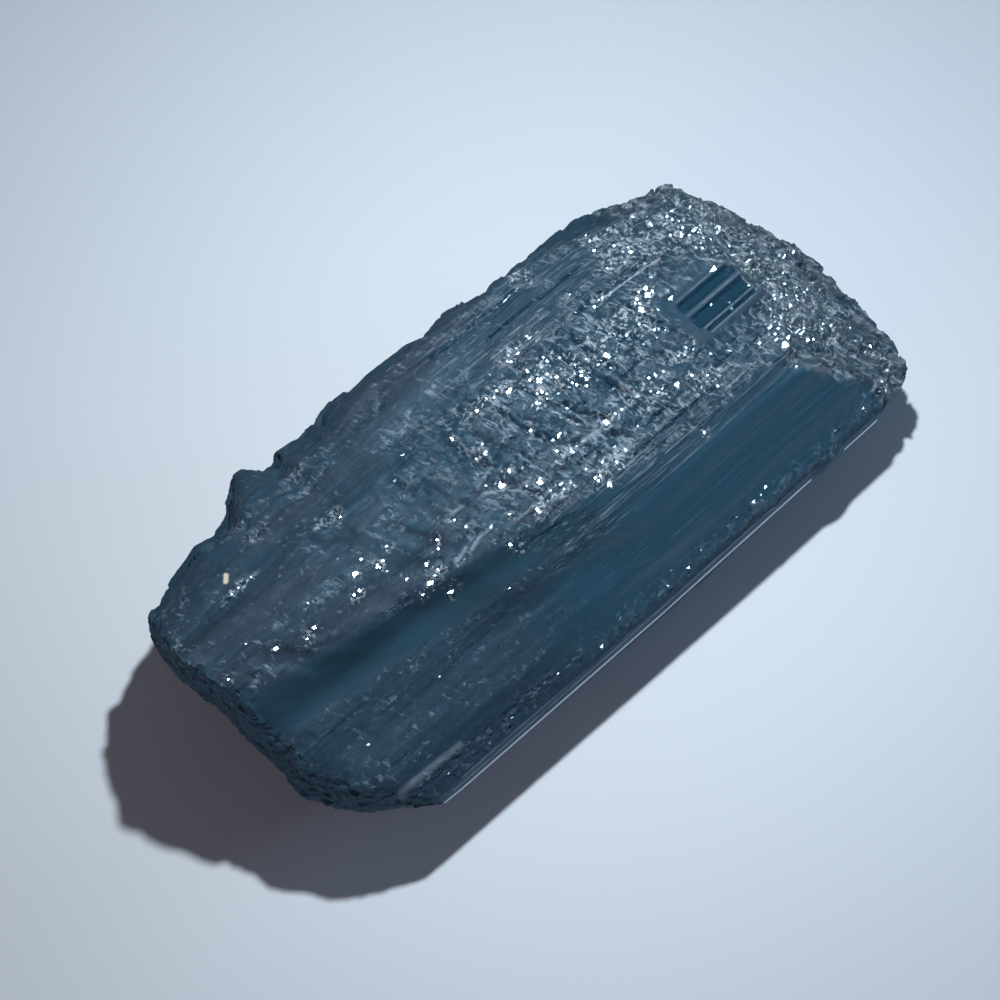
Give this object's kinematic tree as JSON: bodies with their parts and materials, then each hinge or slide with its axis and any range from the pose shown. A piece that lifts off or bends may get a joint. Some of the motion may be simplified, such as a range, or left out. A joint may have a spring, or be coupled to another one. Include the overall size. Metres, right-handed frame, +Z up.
{
  "type": "black tourmaline crystal",
  "caption": "Raw black tourmaline: a long striated prism with a pitted crown and broken ends, lying on a flat prism face.",
  "frame": {"origin": "middle of the bounding box, at the bottom, in the plane that the stone rests on", "axes": "+X runs along the crystal towards the stepped break, +Y points to the high back, +Z is up"},
  "size_m": [0.0586, 0.028, 0.0198],
  "materials": {
    "black_tourmaline": "blue-black, glassy on the fresh prism face and the breaks, duller and pitted on the crown"
  },
  "bodies": {
    "root": {"tourmaline_crystal": "black_tourmaline"}
  },
  "joints": []
}
